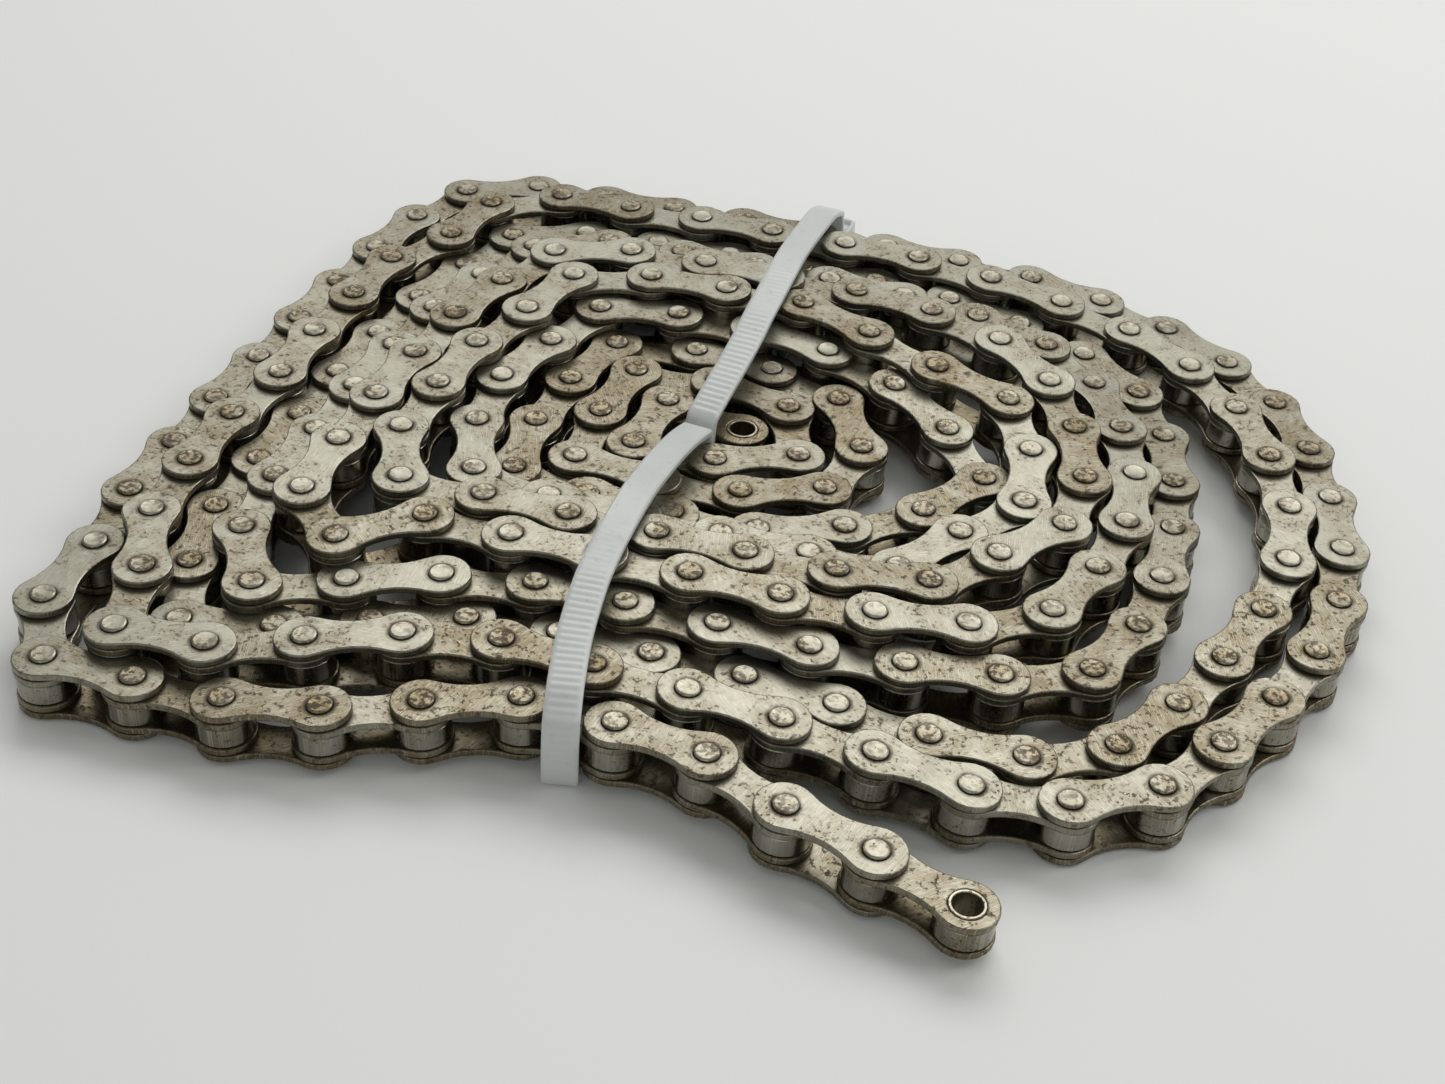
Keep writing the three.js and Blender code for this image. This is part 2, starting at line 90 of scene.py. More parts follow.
inner_face = INNER_WIDTH / 2
inner_out = inner_face + PLATE
outer_face = inner_out + PLATE_PLAY
outer_out = outer_face + PLATE
pin_end = outer_out + PIN_PROUD
bush_end = inner_out + BUSH_PROUD
bush_bore = PIN_R + PIN_PLAY
bush_r = bush_bore + BUSH_WALL
roller_bore = bush_r + ROLLER_TURN_PLAY
roller_r = roller_bore + ROLLER_WALL
nest = 2 * PLATE + PLATE_PLAY + NEST_GAP   # a row raised this much interleaves its plates
middle = STRAP + CLEAR + pin_end

# The pins' places as x, y and tier: one by one at the tail end, then three links apart.
TAIL_END = [
    (34, -64, 0), (22, -57, 0), (10, -51, 0), (0, -42, 0), (-12, -36, 0), (-25, -33, 0),
    (-37, -37, 0), (-50, -39, 0), (-63, -38, 0), (-75, -35, 0), (-85, -31, 0), (-89, -20, 0),
    (-86, -8, 0), (-84, 3, 0), (-82, 15, 0),
]
ROUTE = [
    (-79, 27, 0),
    (-66, 66, 0), (-49, 101, 0), (-12, 96, 0), (24, 88, 0), (60, 78, 0), (86, 50, 0),
    (90, 10, 0), (75, -22, 0), (48, -44, 0), (9, -35, 0.5), (-29, -24, 1), (-67, -28, 1),
    (-79, -3, 1), (-70, 33, 1), (-57, 70, 1), (-32, 92, 1), (4, 86, 1), (40, 77, 1),
    (74, 58, 0.75), (84, 19, 0.5), (69, -15, 0), (42, -39, 0), (4, -27, 0), (-33, -19, 0),
    (-70, -20, 0), (-68, 13, 0), (-57, 50, 0), (-39, 85, 0), (-1, 79, 0), (33, 73, 0),
    (64, 51, 0), (65, 11, 0.5), (49, -21, 1), (13, -23, 1), (-25, -14, 1), (-62, -16, 1),
    (-60, 19, 1), (-49, 55, 1), (-23, 78, 1), (14, 71, 1), (49, 59, 1), (59, 21, 1.5),
    (44, -13, 1.75), (8, -16, 2), (-30, -7, 2), (-59, 0, 2), (-49, 37, 2), (-31, 72, 2),
    (5, 66, 2), (42, 55, 2), (51, 19, 2), (29, -8, 2), (-9, -2, 2), (-46, 7, 2),
    (-39, 43, 2), (-15, 62, 2), (21, 51, 2), (44, 25, 1.5), (24, -2, 1), (-14, 3, 1),
    (-37, 23, 1), (-22, 57, 1), (14, 47, 1), (36, 21, 0.5), (6, 5, 0), (-30, 14, 0),
    (-18, 51, 0), (18, 41, 0),
]
LINKS_PER_POINT = 3
# The inner turns are tight, so there each pin has a point.
CENTRE_END = [
    (20, 28, 0), (16, 15, 0), (3, 12, 0), (-10, 14, 0), (-22, 18, 0), (-22, 31, 0),
    (-15, 43, 0), (-2, 42, 0), (10, 37, 0), (11, 24, 0), (-2, 20, 0), (-14, 22, 0),
    (-11, 34, 0), (1, 31, 0),
]
TIE_HOLE = (-5, 27)
TIE_HOLE_R = 1.9
FRONT_TIE = [(-5, 26), (-9, 14), (-15, -8), (-18, -26), (-18.5, -41)]
REAR_TIE = [(-4.5, 29), (2, 48), (9, 76), (15, 97.5)]
DETAILED = 5


# ---------------------------------------------------------------- the pins' places

def between(a, b, c, d, t):
    """A smooth curve through four points, between b and c."""
    return 0.5 * (2 * b + (c - a) * t + (2 * a - 5 * b + 4 * c - d) * t ** 2
                  + (3 * b - a - 3 * c + d) * t ** 3)


def smooth_route(points, steps):
    """The curve through all the points, cut into the same number of steps between each two."""
    points = np.array(points, float)
    last = len(points) - 1
    line = []
    for k in range(last):
        near = [points[min(max(i, 0), last)] for i in (k - 1, k, k + 1, k + 2)]
        line += [between(*near, step / steps) for step in range(steps)]
    return np.array(line + [points[last]])


def drawn_pins():
    """The pins' drawn places, one for each, before they are made to fit."""
    middle_part = smooth_route(ROUTE, LINKS_PER_POINT)
    pins = np.vstack([np.array(TAIL_END, float), middle_part, np.array(CENTRE_END, float)])
    pins[:, 2] *= nest
    return pins


ROUNDS = 600
FOLLOW_ROUNDS = 380    # the drawn places pull on the pins only this long
FOLLOW = 0.02          # share of the way to its drawn place a pin moves in a round
PIN_SHARE = 0.45       # share of an overlap between two pins that each one gives way
LINK_SHARE = 0.3       # the same between a pin and the middle of a link
LENGTH_PASSES = 6      # times in a round that every link is set back to one pitch
NEST_BELOW = 0.3       # rows interleave if raised a tier, less this much
NEST_ABOVE = 0.9       # or more by this much

nested = LOBE_R + bush_r + SIDE_GAP
apart = 2 * LOBE_R + SIDE_GAP
waist_apart = LOBE_R + WAIST_HALF + SIDE_GAP
waist_nested = max(nested - (LOBE_R - WAIST_HALF) / 2, waist_apart - (LOBE_R - WAIST_HALF))


def least_gap(rise, beside):
    """Least distance in plan between two pins, or a pin and a link's middle, by height apart."""
    fits = (rise >= nest - NEST_BELOW) & (rise <= nest + NEST_ABOVE)
    gap = np.where(fits, waist_nested if beside else nested, waist_apart if beside else apart)
    return np.where(rise > 2 * pin_end, 0, gap)


def push(a, b, least, share):
    """How far to move b away from a, in plan, where they are nearer than they may be."""
    across = b[:, :2] - a[:, :2]
    reach = np.hypot(across[:, 0], across[:, 1])
    k = np.where(reach < least, share * (least - reach) / np.maximum(reach, 0.1), 0)
    return across * k[:, None]


def settle(pins):
    """Moves the pins until each link is one pitch long and no two rows collide."""
    drawn = pins.copy()
    count = len(pins)
    first, second = np.triu_indices(count, 3)
    one = np.repeat(np.arange(count), count - 1)
    link = np.tile(np.arange(count - 1), count)
    far = (abs(one - link) >= 3) & (abs(one - link - 1) >= 3)
    one, link = one[far], link[far]
    hole = np.array([[*TIE_HOLE, 0.0]])
    for turn in range(ROUNDS):
        move = np.zeros((count, 2))
        mids = (pins[1:] + pins[:-1]) / 2
        rise = abs(pins[first, 2] - pins[second, 2])
        by = push(pins[first], pins[second], least_gap(rise, False), PIN_SHARE)
        np.add.at(move, first, -by)
        np.add.at(move, second, by)
        rise = abs(pins[one, 2] - mids[link, 2])
        by = push(pins[one], mids[link], least_gap(rise, True), LINK_SHARE)
        np.add.at(move, one, -by)
        np.add.at(move, link, by / 2)
        np.add.at(move, link + 1, by / 2)
        move += push(np.repeat(hole, count, 0), pins, TIE_HOLE_R + LOBE_R, PIN_SHARE)
        by = push(np.repeat(hole, count - 1, 0), mids, TIE_HOLE_R + WAIST_HALF, PIN_SHARE)
        move[:-1] += by
        move[1:] += by
        pull = FOLLOW if turn < FOLLOW_ROUNDS else 0
        pins[:, :2] += move + pull * (drawn - pins)[:, :2]
        for _ in range(LENGTH_PASSES):
            for start in (0, 1):
                i = np.arange(start, count - 1, 2)
                link_line = pins[i + 1] - pins[i]
                span = np.linalg.norm(link_line, axis=1)
                back = link_line[:, :2] * (0.5 * (span - PITCH) / span)[:, None]
                pins[i, :2] += back
                pins[i + 1, :2] -= back
    return pins


def off_line(pins, line):
    """Distance in plan from each pin to a line of points."""
    best = np.full(len(pins), np.inf)
    for a, b in zip(np.array(line[:-1], float), np.array(line[1:], float)):
        t = np.clip(((pins[:, :2] - a) @ (b - a)) / ((b - a) @ (b - a)), 0, 1)
        best = np.minimum(best, np.linalg.norm(pins[:, :2] - a - t[:, None] * (b - a), axis=1))
    return best


def tie_line(points, pins):
    """A tie's plan line, its last part made long enough to clear the outermost row."""
    line = np.array(points, float)
    part = (line[-1] - line[-2]) / np.linalg.norm(line[-1] - line[-2])
    spots = np.vstack([pins, (pins[1:] + pins[:-1]) / 2])[:, :2] - line[-2]
    round_by = np.concatenate([np.full(len(pins), LOBE_R), np.full(len(pins) - 1, WAIST_HALF)])
    beside = np.maximum(abs(spots @ (-part[1], part[0])) - STRAP_WIDTH / 2, 0)
    met = beside < round_by
    ends = (spots @ part)[met] + np.sqrt(round_by[met] ** 2 - beside[met] ** 2)
    line[-1] = line[-2] + part * (max(0, ends.max()) + END_CLEAR)
    return line


def drape(pins):
    """Lays the chain on the ties' lower straps near them, and on the ground away from them."""
    far = np.minimum(off_line(pins, front_line), off_line(pins, rear_line))
    t = np.clip((far - STRAP_WIDTH) / DRAPE, 0, 1)
    pins[:, 2] += middle - (STRAP + CLEAR) * t * t * (3 - 2 * t)
    return pins


settled = settle(drawn_pins())
front_line = tie_line(FRONT_TIE, settled)
rear_line = tie_line(REAR_TIE, settled)
pins = drape(settled)
# The frame's origin is under the middle of its box, so the layout moves to where a known pin is.
low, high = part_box("tail_link_4_pin_a")
shift = (np.array(low) + np.array(high)) / 2 / MM - pins[3]
pins += shift
links = len(pins) - 1


def link_frame(k, roll=0.0):
    """Middle and directions of link k, in metres, with its X axis along the link."""
    along = Vector(pins[k + 1] - pins[k]).normalized()
    side = Vector((0, 0, 1)).cross(along).normalized()
    up = along.cross(side)
    turn = Matrix((along, side, up)).transposed().to_4x4()
    place = Matrix.Translation(Vector((pins[k] + pins[k + 1]) / 2) * MM)
    return place @ turn @ Matrix.Rotation(roll, 4, "X")


# ---------------------------------------------------------------- piece shapes

def ring(bm, points):
    """A closed line of edges through the points, in millimetres."""
    verts = [bm.verts.new((x * MM, y * MM, 0)) for x, y in points]
    for a, b in zip(verts, verts[1:] + verts[:1]):
        bm.edges.new((a, b))


def arc(cx, cy, r, start, stop, steps):
    """Points along a circle from one angle to another."""
    for i in range(steps + 1):
        a = start + (stop - start) * i / steps
        yield cx + r * math.cos(a), cy + r * math.sin(a)


def plate_outline():
    """Two round ends joined by hollow waists that run smoothly into them."""
    half = PITCH / 2
    hollow_r = (half ** 2 + WAIST_HALF ** 2 - LOBE_R ** 2) / (2 * (LOBE_R - WAIST_HALF))
    centre = WAIST_HALF + hollow_r
    meet = math.atan2(centre, -half)
    waist = math.pi / 2 - math.atan2(centre, half)
    points = []
    for side in (1, -1):
        points += [(side * x, side * y) for x, y in arc(half, 0, LOBE_R, -meet, meet, 14)]
        lower = arc(0, centre, hollow_r, 1.5 * math.pi + waist, 1.5 * math.pi - waist, 6)
        points += [(side * x, side * y) for x, y in list(lower)[1:-1]]
    return points


def soften(bm, width, steps=2):
    """Rounds every sharp rim of a piece."""
    sharp = math.radians(50)
    rims = [e for e in bm.edges if len(e.link_faces) == 2 and e.calc_face_angle() > sharp]
    bmesh.ops.bevel(bm, geom=rims, offset=width * MM, segments=steps, profile=0.5,
                    affect="EDGES", material=-1)


def flat_uv(bm):
    """A UV map that is the piece's own X and Y in centimetres, from its middle."""
    uv = bm.loops.layers.uv.new("flat")
    for face in bm.faces:
        for loop in face.loops:
            loop[uv].uv = (loop.vert.co.x * 100, loop.vert.co.y * 100)


PLATE_ROUND = 0.2      # how far a plate's stamped edges are rounded


def side_plate(hole_r, low, hole_steps=18):
    """A figure-eight plate with two holes, its lower face `low` above the link's middle."""
    bm = bmesh.new()
    ring(bm, plate_outline())
    for side in (1, -1):
        a = math.pi * 2 * (hole_steps - 1) / hole_steps
        ring(bm, arc(side * PITCH / 2, 0, hole_r, 0, a, hole_steps - 1))
    bmesh.ops.triangle_fill(bm, use_beauty=True, use_dissolve=False, edges=bm.edges[:])
    grown = bmesh.ops.extrude_face_region(bm, geom=bm.faces[:])["geom"]
    upper = [part for part in grown if isinstance(part, bmesh.types.BMVert)]
    bmesh.ops.translate(bm, vec=(0, 0, PLATE * MM), verts=upper)
    bmesh.ops.recalc_face_normals(bm, faces=bm.faces[:])
    soften(bm, PLATE_ROUND)
    bmesh.ops.translate(bm, vec=(0, 0, low * MM), verts=bm.verts[:])
    flat_uv(bm)
    return bm


def turned(profile, steps, closed=False):
    """A round piece about Z, spun from its profile of radius and height."""
    bm = bmesh.new()
    verts = [bm.verts.new((r * MM, 0, z * MM)) for r, z in profile]
    edges = [bm.edges.new(pair) for pair in zip(verts, verts[1:] + (verts[:1] if closed else []))]
    bmesh.ops.spin(bm, geom=verts + edges, cent=(0, 0, 0), axis=(0, 0, 1), angle=2 * math.pi,
                   steps=steps, use_merge=True)
    bmesh.ops.remove_doubles(bm, verts=bm.verts[:], dist=1e-6)
    bmesh.ops.recalc_face_normals(bm, faces=bm.faces[:])
    flat_uv(bm)
    return bm


def riveted_pin(steps=16):
    """A pin whose ends are peened over: flared, round-edged and a little dished."""
    end = [(0, pin_end - 0.05), (1.0, pin_end - 0.03), (1.45, pin_end), (1.65, pin_end - 0.08),
           (1.74, pin_end - 0.22), (1.7, outer_out), (PIN_R, outer_out - 0.1)]
    return turned(end + [(r, -z) for r, z in reversed(end)], steps)


def tube_shape(outer, bore, end, round_by, steps):
    """A bush or a roller, with its rims rounded."""
    profile = [(bore, -end + round_by), (bore + round_by, -end), (outer - round_by, -end),
               (outer, -end + round_by), (outer, end - round_by), (outer - round_by, end),
               (bore + round_by, end), (bore, end - round_by)]
    return turned(profile, steps, closed=True)


SHAPES = {
    "inner_plate_top": side_plate(bush_r + SEAT, inner_face),
    "inner_plate_bottom": side_plate(bush_r + SEAT, -inner_out),
    "outer_plate_top": side_plate(PIN_R + SEAT, outer_face),
    "outer_plate_bottom": side_plate(PIN_R + SEAT, -outer_out),
    "pin": riveted_pin(),
    "roller": tube_shape(roller_r, roller_bore, inner_face - ROLLER_PLAY, 0.2, 24),
    "bush": tube_shape(bush_r, bush_bore, bush_end, 0.1, 18),
}

dice = random.Random(7)
MOST_LEAN = math.radians(0.8)      # a tied link lies a little tipped about its length
LINK_LEAN = [dice.uniform(-1, 1) * MOST_LEAN for _ in range(links)]
CENTRE_FROM = 205     # links from here to the centre end are the darkest


def tones(k):
    """How tarnished a link is, and a number of its own that turns its scratches."""
    dark = min(max((k - CENTRE_FROM) / (links - CENTRE_FROM), 0), 1)
    return 0.2 + 0.45 * dice.random() + 0.35 * dark, dice.random()


LINK_TONES = [tones(k) for k in range(links)]
UNDERSIDE_SHADE = 0.3     # painted shade: the lower plates get this much more tarnish, so they come out darker


def piece_tone(k, name):
    """The tones of one piece of a link, its lower plates darkened as painted shade."""
    tarnish_and_shade, seed = LINK_TONES[k]
    return tarnish_and_shade + (UNDERSIDE_SHADE if name.endswith("bottom") else 0), seed


def stamp(target, shape, matrix, tone):
    """Adds a copy of a shape to a mesh under construction, with its own tones."""
    copy = shape.copy()
    copy.transform(matrix)
    for name, value in zip(("tarnish_and_shade", "seed"), tone):
        layer = copy.faces.layers.float.get(name) or copy.faces.layers.float.new(name)
        for face in copy.faces:
            face[layer] = value
    mesh = bpy.data.meshes.new("stamp")
    copy.to_mesh(mesh)
    target.from_mesh(mesh)
    copy.free()
    bpy.data.meshes.remove(mesh)


PLATE_SMOOTH = 20      # degrees: the rounded rim of a plate keeps its edges, its outline doesn't
TIE_SMOOTH = 32


def finish_piece(name, bm, material, body, nodes, smooth=PLATE_SMOOTH):
    """Makes an object of a mesh under construction, for a body and in place of CAD nodes."""
    mesh = bpy.data.meshes.new(name)
    bm.to_mesh(mesh)
    bm.free()
    mesh.polygons.foreach_set("use_smooth", [True] * len(mesh.polygons))
    mesh.set_sharp_from_angle(angle=math.radians(smooth))
    mesh.materials.append(material)
    piece = bpy.data.objects.new(name, mesh)
    bpy.context.scene.collection.objects.link(piece)
    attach(piece, body)
    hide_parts(*nodes)


# ---------------------------------------------------------------- materials

def linear(colour):
    """A #rrggbb colour as the linear values that shaders take."""
    parts = [int(colour[i:i + 2], 16) / 255 for i in (1, 3, 5)]
    return [p / 12.92 if p <= 0.04045 else ((p + 0.055) / 1.055) ** 2.4 for p in parts] + [1]


def material(name):
    """A new material, its node tree and its shader."""
    made = bpy.data.materials.new(name)
    made.use_nodes = True
    tree = made.node_tree
    return made, tree, tree.nodes["Principled BSDF"]


def add_node(tree, kind, links_in=(), **settings):
    """One node, with its settings; links_in gives each input's name or number and its source."""
    node = tree.nodes.new(kind)
    for key, value in settings.items():
        if hasattr(node, key):
            setattr(node, key, value)
        else:
            node.inputs[key].default_value = value
    for key, source in dict(links_in).items():
        if hasattr(source, "is_output"):
            tree.links.new(source, node.inputs[key])
        else:
            node.inputs[key].default_value = source
    return node


def maths(tree, operation, a, b=0.0):
    """The result of one sum on numbers or on other nodes' outputs."""
    return add_node(tree, "ShaderNodeMath", {0: a, 1: b}, operation=operation).outputs[0]


def ramp(tree, value, low_at, high_at, to_low=0.0, to_high=1.0):
    """A number that goes smoothly from to_low to to_high as value crosses the range."""
    node = add_node(tree, "ShaderNodeMapRange", {0: value, 1: low_at, 2: high_at, 3: to_low, 4: to_high},
                    interpolation_type="SMOOTHSTEP")
    return node.outputs[0]


def blend_colour(tree, amount, below, above):
    """One colour laid over another, by an amount from 0 to 1."""
    node = tree.nodes.new("ShaderNodeMix")
    node.data_type = "RGBA"
    for key, source in ((0, amount), (6, below), (7, above)):
        if hasattr(source, "is_output"):
            tree.links.new(source, node.inputs[key])
        else:
            node.inputs[key].default_value = linear(source) if isinstance(source, str) else source
    return node.outputs[2]


def noise(tree, where, grain_mm, detail=3.0, rough=0.6):
    """Noise on a vector in metres whose blotches are about grain_mm across."""
    node = add_node(tree, "ShaderNodeTexNoise", {"Vector": where, "Scale": 1 / (grain_mm * MM),
                                                 "Detail": detail, "Roughness": rough})
    return node.outputs["Fac"]


SCRATCH_TURN = 6.3                    # radians, about a full turn
SCRATCH_STRETCH = (1.2, 30.0, 1.0)    # along, across: scratches are many times longer than wide
SHADE_REACH = 2.0                    # millimetres over which the painted shade in corners and gaps fades out


def used_nickel(name, clean, tarnished, grime_and_shade_colour, rough, mottle, stain_from, stain_to, stain_at):
    """Nickel-plated steel after years of oil: a satin grey with fine scratches, yellow-brown
    tarnish in blotches, and dried grime in a ring stain_at millimetres from the piece's middle,
    round each pin. Corners and gaps between parts get painted shade in the grime colour.
    A higher mottle covers more of it in small brown patches."""
    made, tree, shader = material(name)
    place = add_node(tree, "ShaderNodeTexCoord").outputs["Object"]
    flat = add_node(tree, "ShaderNodeUVMap", uv_map="flat").outputs[0]
    tarnish_and_shade = add_node(tree, "ShaderNodeAttribute", attribute_name="tarnish_and_shade").outputs["Fac"]
    seed = add_node(tree, "ShaderNodeAttribute", attribute_name="seed").outputs["Fac"]

    blotch = noise(tree, place, 5.0)
    fine = noise(tree, place, 0.9, 5.0, 0.7)
    specks = noise(tree, place, 0.45, 2.0, 0.5)

    # Distance to the nearer pin, from the piece's own flat coordinates in centimetres.
    axes = add_node(tree, "ShaderNodeSeparateXYZ", {0: flat})
    along = maths(tree, "SUBTRACT", maths(tree, "ABSOLUTE", axes.outputs[0]), stain_at / 10)
    along_squared = maths(tree, "POWER", along, 2.0)
    across_squared = maths(tree, "POWER", axes.outputs[1], 2.0)
    from_pin = maths(tree, "SQRT", maths(tree, "ADD", along_squared, across_squared))
    ragged = maths(tree, "MULTIPLY", maths(tree, "SUBTRACT", fine, 0.5), 0.09)
    ring_edge = maths(tree, "ADD", from_pin, ragged)
    stain = ramp(tree, ring_edge, stain_from / 10, stain_to / 10, 1.0, 0.0)

    # Scratches: noise stretched along the piece, different on every link.
    turn = maths(tree, "MULTIPLY", seed, SCRATCH_TURN)
    spun = add_node(tree, "ShaderNodeVectorRotate", {"Vector": flat, "Angle": turn}, rotation_type="Z_AXIS")
    stretched = add_node(tree, "ShaderNodeVectorMath", {0: spun.outputs[0], 1: SCRATCH_STRETCH},
                         operation="MULTIPLY")
    scratch = add_node(tree, "ShaderNodeTexNoise", {"Vector": stretched.outputs[0], "Scale": 3.0,
                                                    "Detail": 4.0, "Roughness": 0.65}).outputs["Fac"]
    scored = ramp(tree, scratch, 0.53, 0.62)

    # Tarnish: more of it on the darker links, and in blotches; more again on the lower plates, as painted
    # shade.
    link_tarnish_and_shade = maths(tree, "MULTIPLY", tarnish_and_shade, 0.75)
    cover = maths(tree, "ADD", link_tarnish_and_shade, maths(tree, "SUBTRACT", blotch, 0.5))
    tint = ramp(tree, cover, 0.05, 0.7, 0.0, 0.9)
    colour = blend_colour(tree, tint, clean, tarnished)
    colour = blend_colour(tree, maths(tree, "MULTIPLY", scored, 0.4), colour, "#c6c3b6")

    # Grime: the ring round each pin, brown patches and small dark specks; and painted shade in corners and
    # gaps between parts, from ambient occlusion, in the grime colour.
    pin_ring = maths(tree, "MULTIPLY", stain, ramp(tree, blotch, 0.38, 0.58, 0.35, 0.95))
    patches = ramp(tree, fine, 0.53 - mottle, 0.63 - mottle)
    patches = maths(tree, "MULTIPLY", patches, ramp(tree, cover, 0.05, 0.5, 0.1, 0.8))
    pits = ramp(tree, specks, 0.62, 0.68, 0.0, 0.8)
    pits = maths(tree, "MULTIPLY", pits, ramp(tree, blotch, 0.4, 0.56, 0.1, 1.0))
    # Painted shade: ambient occlusion darkens corners and gaps between parts towards the grime colour.
    occlusion = add_node(tree, "ShaderNodeAmbientOcclusion", samples=6, Distance=SHADE_REACH * MM)
    painted_corner_shade = ramp(tree, occlusion.outputs["AO"], 0.15, 0.7, 0.92, 0.0)
    dirt_and_shade = pin_ring
    for more in (patches, pits, painted_corner_shade):
        dirt_and_shade = maths(tree, "MAXIMUM", dirt_and_shade, more)
    colour = blend_colour(tree, dirt_and_shade, colour, grime_and_shade_colour)
    tree.links.new(colour, shader.inputs["Base Color"])

    gloss = maths(tree, "ADD", maths(tree, "MULTIPLY", blotch, 0.16), rough - 0.08)
    gloss = maths(tree, "ADD", gloss, maths(tree, "MULTIPLY", dirt_and_shade, 0.28))
    tree.links.new(gloss, shader.inputs["Roughness"])
    tree.links.new(ramp(tree, dirt_and_shade, 0.1, 0.9, 1.0, 0.4), shader.inputs["Metallic"])

    relief = maths(tree, "ADD", maths(tree, "MULTIPLY", scratch, 0.5), maths(tree, "MULTIPLY", fine, 0.8))
    bump = add_node(tree, "ShaderNodeBump", {"Height": relief, "Strength": 0.22, "Distance": 0.05 * MM})
    tree.links.new(bump.outputs[0], shader.inputs["Normal"])
    return made


def natural_nylon():
    """Moulded natural nylon: milky, softly glossy and a little see-through."""
    made, tree, shader = material("natural_nylon")
    place = add_node(tree, "ShaderNodeTexCoord").outputs["Object"]
    cloud = noise(tree, place, 6.0)
    smear = noise(tree, place, 1.6, 5.0, 0.7)
    colour = blend_colour(tree, cloud, "#d8dcd9", "#e9ebe8")
    colour = blend_colour(tree, ramp(tree, smear, 0.58, 0.7, 0.0, 0.35), colour, "#b5ad99")
    tree.links.new(colour, shader.inputs["Base Color"])
    shader.inputs["Subsurface Weight"].default_value = 0.5
    shader.inputs["Subsurface Radius"].default_value = (0.0012, 0.0012, 0.0012)
    shader.inputs["Subsurface Scale"].default_value = 1.0
    shader.inputs["Transmission Weight"].default_value = 0.25
    shader.inputs["IOR"].default_value = 1.53
    gloss = maths(tree, "ADD", maths(tree, "MULTIPLY", smear, 0.25), 0.28)
    tree.links.new(gloss, shader.inputs["Roughness"])
    bump = add_node(tree, "ShaderNodeBump", {"Height": smear, "Strength": 0.15, "Distance": 0.05 * MM})
    tree.links.new(bump.outputs[0], shader.inputs["Normal"])
    return made


half = PITCH / 2
NO_RING = (-2.0, -1.0, 0.0)    # distances that no point has, so that no ring is drawn
plate_nickel = used_nickel("used_nickel_plate", "#8f8c7e", "#6e624a", "#382911", 0.38, 0.0,
                           1.7, 2.5, half)
pin_steel = used_nickel("peened_pin_steel", "#9f9b8c", "#746442", "#3c2b13", 0.38, 0.07, *NO_RING)
roller_nickel = used_nickel("polished_roller_nickel", "#9c998e", "#746b59", "#251c10", 0.22, -0.04,
                            *NO_RING)
bush_steel = used_nickel("oiled_bush_steel", "#aea999", "#8a7f68", "#43351f", 0.32, -0.03, *NO_RING)
nylon = natural_nylon()
METAL = {
    "inner_plate": (plate_nickel, "plate"),
    "outer_plate": (plate_nickel, "plate"),
    "pin": (pin_steel, "pin"),
    "roller": (roller_nickel, "roller"),
    "bush": (bush_steel, "bush"),
}


# ---------------------------------------------------------------- the chain

def kind_of(piece):
    """The kind of piece that a name such as inner_plate_top or pin_a stands for."""
    return next(kind for kind in METAL if piece.startswith(kind))


def link_pieces(k):
    """Every piece of link k: name, shape and place along the link."""
    if k % 2:
        return [("outer_plate_top", "outer_plate_top", 0), ("outer_plate_bottom", "outer_plate_bottom", 0),
                ("pin_a", "pin", -half), ("pin_b", "pin", half)]
    return [("inner_plate_top", "inner_plate_top", 0), ("inner_plate_bottom", "inner_plate_bottom", 0),
            ("bush_a", "bush", -half), ("bush_b", "bush", half),
            ("roller_a", "roller", -half), ("roller_b", "roller", half)]


def separate_link(k, label, body):
    """A link near an end of the chain, each of its pieces an object of its own."""
    for name, shape, x in link_pieces(k):
        bm = bmesh.new()
        stamp(bm, SHAPES[shape], link_frame(k) @ Matrix.Translation((x * MM, 0, 0)), piece_tone(k, name))
        metal, slot_name = METAL[kind_of(name)]
        node = f"{label}_{name}"
        rides = node if node in frame["bodies"] else body
        finish_piece(f"{node}_fine", bm, metal, rides, [node])


def coil_links():
    """All the tied links: one object for each shape of piece."""
    gathered = {shape: bmesh.new() for shape in SHAPES}
    for k in range(DETAILED, links - 1):
        place = link_frame(k, LINK_LEAN[k])
        for name, shape, x in link_pieces(k):
            spot = place @ Matrix.Translation((x * MM, 0, 0))
            stamp(gathered[shape], SHAPES[shape], spot, piece_tone(k, name))
    runs = [node for node in frame["nodes"] if node.startswith("coil_run")]
    for shape, bm in gathered.items():
        metal, slot_name = METAL[kind_of(shape)]
        finish_piece(f"coil_{shape}_pieces", bm, metal, "coil", runs)


for k in range(DETAILED):
    label = f"tail_link_{k + 1}"
    separate_link(k, label, label if label in frame["bodies"] else "coil")
separate_link(links - 1, "centre_end", "coil")
coil_links()


# ---------------------------------------------------------------- cable ties

def taut_top(plan):
    """Height of the upper strap over each point of its plan line: taut over the rows below."""
    near = STRAP_WIDTH + LOBE_R
    spots = np.vstack([pins, (pins[1:] + pins[:-1]) / 2])
    reach = np.hypot(*(spots[None, :, :2] - plan[:, None, :2]).transpose(2, 0, 1))
    tops = np.where(reach < near, spots[None, :, 2] + pin_end + CLEAR, 0).max(axis=1)
    hull = []
    for i, z in enumerate(tops):
        while len(hull) > 1:
            (ax, az), (bx, bz) = hull[-2:]
            if (bx - ax) * (z - az) - (bz - az) * (i - ax) < 0:
                break
            hull.pop()
        hull.append((i, z))
    return np.interp(np.arange(len(tops)), [p[0] for p in hull], [p[1] for p in hull])


def round_corners(loop, rounds):
    """Cuts the corners of a closed loop of points, again and again, until it is smooth."""
    for _ in range(rounds):
        after = np.roll(loop, -1, axis=0)
        cuts = np.stack([0.75 * loop + 0.25 * after, 0.25 * loop + 0.75 * after], 1)
        loop = cuts.reshape(-1, loop.shape[1])
    return loop


PLAN_STEPS = 6             # stops between neighbouring points of a tie's plan line
CORNER_ROUNDS = 3


